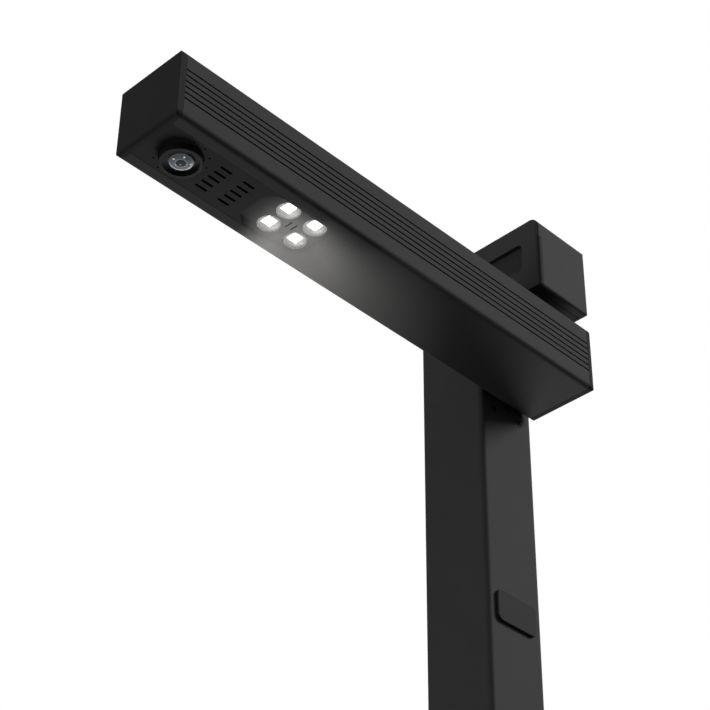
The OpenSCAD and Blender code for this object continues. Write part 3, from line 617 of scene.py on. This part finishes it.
# %% Rules
class Rule(Network):
    def __init__(self, name, **sizes):
        super().__init__(bpy.data.node_groups.new(name, "GeometryNodeTree"))
        sockets = self.tree.interface
        sockets.new_socket("Points", in_out="INPUT", socket_type="NodeSocketGeometry")
        sockets.new_socket("Finish", in_out="INPUT", socket_type="NodeSocketMaterial")
        sockets.new_socket("Facing", in_out="INPUT", socket_type="NodeSocketVector")
        for label, value in sizes.items():
            kind = "NodeSocketInt" if isinstance(value, int) else "NodeSocketFloat"
            sockets.new_socket(label, in_out="INPUT", socket_type=kind).default_value = value
        sockets.new_socket("Geometry", in_out="OUTPUT", socket_type="NodeSocketGeometry")
        self.given = self.tree.nodes.new("NodeGroupInput")

    def __getitem__(self, label):
        return Signal(self, self.given.outputs[label])

    def vector(self, x=0.0, y=0.0, z=0.0):
        return self.node("ShaderNodeCombineXYZ", {}, {0: x, 1: y, 2: z})

    def moved(self, shape, x=0.0, y=0.0, z=0.0):
        return self.node("GeometryNodeTransform", {}, {0: shape, "Translation": self.vector(x, y, z)})

    def joined(self, *shapes):
        return self.node("GeometryNodeJoinGeometry", {}, {0: list(shapes)})

    def pulled(self, shape, height, mode="FACES", way=1.0, **choice):
        """The shape's faces or edges drawn out along Z, or those of them that the choice names."""
        inputs = {"Mesh": shape, "Offset": self.vector(z=way), "Offset Scale": height}
        return self.node("GeometryNodeExtrudeMesh", {"mode": mode}, {**inputs, **choice})

    def on_points(self, shape, seed=None):
        """One shape on every point, its Z along Facing, turned at random if seed is given."""
        turn = self.node("FunctionNodeAlignRotationToVector", {"axis": "Z"}, {"Vector": self["Facing"]})
        if seed is not None:
            chance = self.node("FunctionNodeRandomValue", {"data_type": "FLOAT"},
                               {2: 0.0, 3: 6.2832, "Seed": seed}, out=1)
            spin = self.node("FunctionNodeAxisAngleToRotation", {}, {"Axis": (0, 0, 1), "Angle": chance})
            turn = self.node("FunctionNodeRotateRotation", {"rotation_space": "LOCAL"}, {0: turn, 1: spin})
        return self.node("GeometryNodeInstanceOnPoints", {},
                         {"Points": self["Points"], "Instance": shape, "Rotation": turn})

    def close(self, shapes):
        real = self.node("GeometryNodeRealizeInstances", {}, {0: shapes})
        coated = self.node("GeometryNodeSetMaterial", {}, {"Geometry": real, "Material": self["Finish"]})
        self.end("NodeGroupOutput", coated)
        print("rule", self.tree.name, "has", len(self.tree.nodes), "nodes")


print("every rule begins with Points, Finish and Facing")

# %% [markdown]
# To use a rule, an empty mesh with only the points carries its modifier. The sizes are set
# by the sockets' identifiers. The result is made a plain mesh, its double points are
# merged, and its faces are turned to point outwards.

# %% Growing a piece from its points
MADE_CREASE = math.radians(32)
MADE_WELD = 0.002 * MM


def grow(rule, node, points, facing=(0, 0, 1), **sizes):
    """Run the rule on the points and let the result stand for the solid of that name."""
    mesh = bpy.data.meshes.new(node + "_made")
    mesh.from_pydata(points, [], [])
    piece = bpy.data.objects.new(node + "_made", mesh)
    bpy.context.collection.objects.link(piece)
    run = piece.modifiers.new("rule", "NODES")
    run.node_group = rule.tree
    sizes.update(Finish=FINISH[SLOT_OF[node]], Facing=facing)
    for item in rule.tree.interface.items_tree:
        if item.in_out == "INPUT" and item.name in sizes:
            run[item.identifier] = sizes[item.name]
    plain = made_plain(piece)
    clean = bmesh.new()
    clean.from_mesh(plain)
    bmesh.ops.remove_doubles(clean, verts=clean.verts, dist=MADE_WELD)
    bmesh.ops.recalc_face_normals(clean, faces=clean.faces)
    for face in clean.faces:
        face.smooth = True
    clean.to_mesh(plain)
    clean.free()
    plain.set_sharp_from_angle(angle=MADE_CREASE)
    stand_for(piece, node)


print("solids still without a piece:", len(frame["nodes"]) - len(BROKEN_BY))

# %% [markdown]
# A machine screw is a turned blank: a flat head with a small chamfer, a cross recess
# pressed into it, and a shank. Every cross stops at an angle of its own, as screws do when
# they are tight. The head's wall is a circle drawn out twice, and the second ring is
# pulled in for the chamfer. The cross is a star cut out of the lid and drawn down.

# %% Screw rule
screw = Rule("screw", HeadRadius=2.0 * MM, HeadHeight=1.2 * MM, ShankRadius=1.5 * MM,
             ShankLength=6.0 * MM, Cross=1.2 * MM, CrossDepth=0.7 * MM, Chamfer=0.25 * MM, Corners=32,
             Seed=7)
outline = {"Vertices": screw["Corners"], "Radius": screw["HeadRadius"]}
rim = screw.node("GeometryNodeMeshCircle", {"fill_type": "NGON"}, outline)
wall = screw.node("GeometryNodeMeshCircle", {}, outline)
wall = screw.pulled(wall, screw["HeadHeight"] - screw["Chamfer"], mode="EDGES")
top = Signal(screw, wall.socket.node.outputs["Top"])
slope = screw.pulled(wall, screw["Chamfer"], mode="EDGES", Selection=top)
top = Signal(screw, slope.socket.node.outputs["Top"])
x, y, z = screw.parts(screw.node("GeometryNodeInputPosition"))
shrink = (screw["HeadRadius"] - screw["Chamfer"]) / screw["HeadRadius"]
side = screw.node("GeometryNodeSetPosition", {}, {
    "Geometry": slope, "Selection": top, "Position": screw.vector(x * shrink, y * shrink, z)})
lid = screw.node("GeometryNodeCurvePrimitiveCircle", {}, {
    "Resolution": screw["Corners"], "Radius": screw["HeadRadius"] - screw["Chamfer"]})
cross = screw.node("GeometryNodeCurveStar", {}, {
    "Points": 4, "Inner Radius": screw["Cross"] * 0.34, "Outer Radius": screw["Cross"], "Twist": 0.0})
face = screw.node("GeometryNodeFillCurve", {}, {"Curve": screw.joined(lid, cross)})
bottom = screw.node("GeometryNodeFillCurve", {}, {"Curve": cross})
pit = screw.pulled(bottom, screw["CrossDepth"], way=-1.0, Individual=False)
tops = screw.moved(screw.joined(face, pit), z=screw["HeadHeight"])
shank = screw.node("GeometryNodeMeshCylinder", {}, {
    "Vertices": 24, "Radius": screw["ShankRadius"], "Depth": screw["ShankLength"]})
shank = screw.moved(shank, z=screw["ShankLength"] * -0.5 + 0.05 * MM)
screw.close(screw.on_points(screw.joined(rim, side, tops, shank), seed=screw["Seed"]))

# %% [markdown]
# The solids have screws of the right sizes with a plain round socket. Their heads and
# shanks are measured, so that the rule makes each of them again in its place. A node holds
# all its screws as one mesh, and points that edges join belong to one screw.

# %% Screws where the solids have them
# The way in which the heads of each group look.
SCREWS = {
    "hinge_screws": (1, 0, 0), "column_screws": (0, 1, 0), "flange_screws": (-1, 0, 0),
    "shell_screws": (0, 0, -1), "floor_screws": (0, 0, 1), "camera_screws": (0, 0, 1),
    "lamp_screws": (0, 0, 1), "board_screws": (0, 0, 1), "base_screws": (0, 0, -1),
    "foot_screws": (0, 0, -1)}


def islands(shape):
    """The points of each loose part of the mesh."""
    left = set(shape.verts)
    for first in shape.verts:
        if first in left:
            left.remove(first)
            island = [first]
            for vert in island:
                near = [edge.other_vert(vert) for edge in vert.link_edges]
                island += [other for other in near if other in left]
                left -= set(near)
            yield [vert.co.copy() for vert in island]


def measured_screws(node, way):
    """The seats of the screws in a solid, which are all alike, and the sizes of the last one."""
    shape = bmesh.new()
    shape.from_mesh(frame["nodes"][node].data)
    bmesh.ops.remove_doubles(shape, verts=shape.verts, dist=WELD)
    seats = []
    for spots in islands(shape):
        corners = [Vector(pick(c[i] for c in spots) for i in range(3)) for pick in (min, max)]
        middle = sum(corners, Vector()) / 2
        heights = [(spot - middle).dot(way) for spot in spots]
        radii = [((spot - middle) - way * height).length for spot, height in zip(spots, heights)]
        widest = max(radii)
        head = [height for height, radius in zip(heights, radii) if radius > 0.97 * widest]
        seat = min(head)
        thin = max(radius for height, radius in zip(heights, radii) if height < seat - 0.3 * MM)
        seats.append(tuple(middle + way * seat))
        size = {"HeadRadius": widest, "HeadHeight": max(head) - seat, "ShankRadius": thin,
                "ShankLength": seat - min(heights)}
    shape.free()
    return sorted(seats), size


for number, (node, way) in enumerate(SCREWS.items()):
    seats, size = measured_screws(node, Vector(way))
    grow(screw, node, seats, way, Cross=0.6 * size["HeadRadius"], CrossDepth=0.6 * size["HeadHeight"],
         Chamfer=0.16 * size["HeadHeight"], Seed=11 + number, **size)

# %% [markdown]
# A lamp lens is moulded clear plastic: a shallow dome inside a raised rim, with a small
# groove between them. The rule takes a disc with rings of faces and lifts each ring by a
# formula of its distance from the middle. Four points set the four lenses.

# %% Lamp lenses
LENSES_Z = UNDERSIDE + 2.35 * MM
PLACES = [(LAMPS.x + x * LED_X, LAMPS.y + y * LED_Y) for x in (-1, 1) for y in (-1, 1)]
lamp = Rule("lamp_lens", Radius=LED_RADIUS, Thickness=1.7 * MM, Dome=0.7 * MM, Rim=0.3 * MM,
            RimPart=0.86, Rings=14)
disc = lamp.node("GeometryNodeMeshCylinder", {"fill_type": "TRIANGLE_FAN"}, {
    "Vertices": 64, "Fill Segments": lamp["Rings"], "Radius": lamp["Radius"], "Depth": lamp["Thickness"]})
front = Signal(lamp, disc.socket.node.outputs["Top"])
x, y, z = lamp.parts(lamp.node("GeometryNodeInputPosition"))
out = (x * x + y * y) ** 0.5 / lamp["Radius"]
swell = (1.0 - (out / lamp["RimPart"]) ** 2.0).at_least(0.0) * lamp["Dome"]
ridge = out.peak(0.93, 0.07) * lamp["Rim"]
raised = lamp.node("GeometryNodeSetPosition", {}, {
    "Geometry": disc, "Selection": front, "Offset": lamp.vector(z=swell + ridge)})
lamp.close(lamp.on_points(lamp.moved(raised, z=lamp["Thickness"] * -0.5)))
grow(lamp, "led_lenses", [(x, y, LENSES_Z) for x, y in PLACES], (0, 0, -1))

# %% [markdown]
# Each light chip is a white ceramic plate with a square of phosphor on it. Two flat blocks
# would be quick to place by hand, but a rule puts them on the very points of the lenses.

# %% Light chips
CHIPS_Z = UNDERSIDE + 4.6 * MM
chip = Rule("light_chip", Plate=6.4 * MM, PlateHeight=0.35 * MM, Phosphor=PHOSPHOR,
            PhosphorHeight=0.12 * MM)


def square_slab(side, height, z):
    block = chip.node("GeometryNodeMeshCube", {}, {
        "Size": chip.vector(side, side, height), "Vertices X": 4, "Vertices Y": 4, "Vertices Z": 2})
    return chip.moved(block, z=height * 0.5 + z)


ceramic = square_slab(chip["Plate"], chip["PlateHeight"], 0.0)
phosphor = square_slab(chip["Phosphor"], chip["PhosphorHeight"], chip["PlateHeight"])
chip.close(chip.on_points(chip.joined(ceramic, phosphor)))
grow(chip, "led_chips", [(x, y, CHIPS_Z) for x, y in PLACES], (0, 0, -1))

# %% [markdown]
# The panel under the camera and the lamps is a stamped plate, and its shape follows a
# rule: an outline, a ring of pin holes round the lens, two rows of slots and a recess with
# large corners for the lamps. Each hole is a curve. Fill Curve fills the space between the
# curves, so that the holes stay open, and Extrude Mesh gives the plate its thickness. The
# plate and the flange above it, which holds it in the arm, are the same rule twice.

# %% Panel rule
panel = Rule(
    "camera_panel", Width=27.4 * MM, Length=111.2 * MM, Thickness=1.9 * MM, FlangeWidth=34.4 * MM,
    FlangeLength=114.1 * MM, Flange=1.2 * MM, LensAt=21.0 * MM, HoodRadius=10.25 * MM, PinRing=12.4 * MM,
    PinRadius=0.5 * MM, Pins=12, RowOneAt=37.0 * MM, RowTwoAt=50.6 * MM, Slots=5, SlotPitch=4.15 * MM,
    SlotLength=7.0 * MM, SlotWidth=1.4 * MM, RecessAt=81.6 * MM, RecessWidth=26.2 * MM,
    RecessLength=42.2 * MM, RecessCorner=8.8 * MM, CameraPost=1.9 * MM, CameraPostHeight=15.0 * MM,
    CameraPostSpanX=28.4 * MM, CameraPostSpanY=20.8 * MM, LampPost=2.2 * MM, LampPostHeight=2.6 * MM,
    LampPostSpanX=22.0 * MM, LampPostSpanY=50.0 * MM)
FLANGE_START = 0.2 * MM
HALF_PIN_STEP = math.radians(15)


def circle(radius, corners):
    return panel.node("GeometryNodeCurvePrimitiveCircle", {}, {"Resolution": corners, "Radius": radius})


def oblong(width, length):
    return panel.node("GeometryNodeCurvePrimitiveQuadrilateral", {}, {"Width": width, "Height": length})


def rounded(width, length, radius):
    return panel.node("GeometryNodeFilletCurve", {"mode": "POLY"},
                      {"Curve": oblong(width, length), "Radius": radius, "Count": 10})


def repeated(shape, points):
    spread = panel.node("GeometryNodeInstanceOnPoints", {}, {"Points": points, "Instance": shape})
    return panel.node("GeometryNodeRealizeInstances", {}, {0: spread})


def pin_holes():
    ring = panel.node("GeometryNodeMeshCircle", {}, {"Vertices": panel["Pins"], "Radius": panel["PinRing"]})
    ring = panel.node("GeometryNodeTransform", {}, {0: ring, "Rotation": (0, 0, HALF_PIN_STEP)})
    return repeated(circle(panel["PinRadius"], 20), ring)


def slot_row():
    step = panel.vector(panel["SlotPitch"])
    line = panel.node("GeometryNodeMeshLine", {}, {"Count": panel["Slots"], "Offset": step})
    line = panel.moved(line, x=(panel["Slots"] - 1.0) * panel["SlotPitch"] * -0.5)
    return repeated(rounded(panel["SlotWidth"], panel["SlotLength"], panel["SlotWidth"] * 0.49), line)


def plate(width, length, thickness, start, z):
    """A plate that begins at start and stands on z, with all the holes through it."""
    row = slot_row()
    recess = rounded(panel["RecessWidth"], panel["RecessLength"], panel["RecessCorner"])
    curves = panel.joined(
        panel.moved(oblong(width, length), y=length * 0.5 + start),
        panel.moved(circle(panel["HoodRadius"], 96), y=panel["LensAt"]),
        panel.moved(pin_holes(), y=panel["LensAt"]), panel.moved(row, y=panel["RowOneAt"]),
        panel.moved(row, y=panel["RowTwoAt"]), panel.moved(recess, y=panel["RecessAt"]))
    sheet = panel.node("GeometryNodeFillCurve", {}, {"Curve": curves})
    return panel.moved(panel.joined(sheet, panel.pulled(sheet, thickness, Individual=False)), z=z)


print("sizes of the panel:", len(panel.given.outputs))

# %% [markdown]
# Posts behind the panel carry the camera and the lamp board. Two grids of four points set
# them. The panel's front end and the middle of the lens are read from the solids, and the
# rows and the recess stand at fixed parts of the panel's length.

# %% Camera panel
WALL = 2.0 * MM
PANEL_LENGTH = 111.3 * MM
ROW_ONE, ROW_TWO, RECESS = 0.332, 0.4546, 0.7336


def posts(kind, y):
    """Four posts of a kind round y, as far apart as its spans say."""
    radius, height = panel[kind], panel[kind + "Height"]
    grid = panel.node("GeometryNodeMeshGrid", {}, {
        "Size X": panel[kind + "SpanX"], "Size Y": panel[kind + "SpanY"], "Vertices X": 2, "Vertices Y": 2})
    post = panel.node("GeometryNodeMeshCylinder", {}, {"Vertices": 24, "Radius": radius, "Depth": height})
    post = panel.moved(post, z=panel["Thickness"] + height * 0.5)
    return panel.moved(repeated(post, grid), y=y)


face = plate(panel["Width"], panel["Length"], panel["Thickness"], 0.0, 0.0)
flange = plate(panel["FlangeWidth"], panel["FlangeLength"], panel["Flange"], FLANGE_START, panel["Thickness"])
camera_posts = posts("CameraPost", panel["LensAt"])
lamp_posts = posts("LampPost", panel["RecessAt"])
panel.close(panel.on_points(panel.joined(face, flange, camera_posts, lamp_posts)))
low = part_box("camera_panel")[0]
grow(panel, "camera_panel", [(LAMPS.x, low.y, low.z)], Thickness=WALL - (low.z - UNDERSIDE),
     LensAt=LENS.y - low.y, RowOneAt=ROW_ONE * PANEL_LENGTH, RowTwoAt=ROW_TWO * PANEL_LENGTH,
     RecessAt=RECESS * PANEL_LENGTH)
